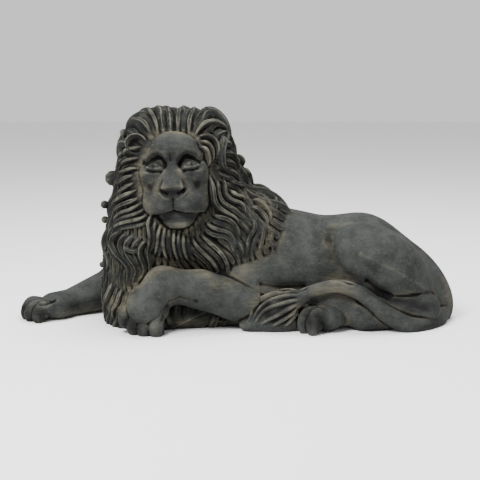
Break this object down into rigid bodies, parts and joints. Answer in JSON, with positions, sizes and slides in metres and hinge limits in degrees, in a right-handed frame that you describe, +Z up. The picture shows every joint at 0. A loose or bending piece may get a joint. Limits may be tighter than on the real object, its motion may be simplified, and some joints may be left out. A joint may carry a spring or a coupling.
{
  "type": "recumbent lion statue",
  "caption": "Cast garden statue of a lion lying down with its head turned to the side, one forepaw stretched out and one folded, and its tail laid round the hind foot.",
  "frame": {"origin": "centre of the bounding box, on the ground under the statue", "axes": "+X from the forepaws to the rump, -Y out of the shown side and the face, +Z up"},
  "size_m": [1.112, 0.449, 0.5445],
  "materials": {
    "dark_stone": "matt dark grey cast stone with pale dust in the grooves"
  },
  "bodies": {
    "root": {"lion": "dark_stone"}
  },
  "joints": []
}
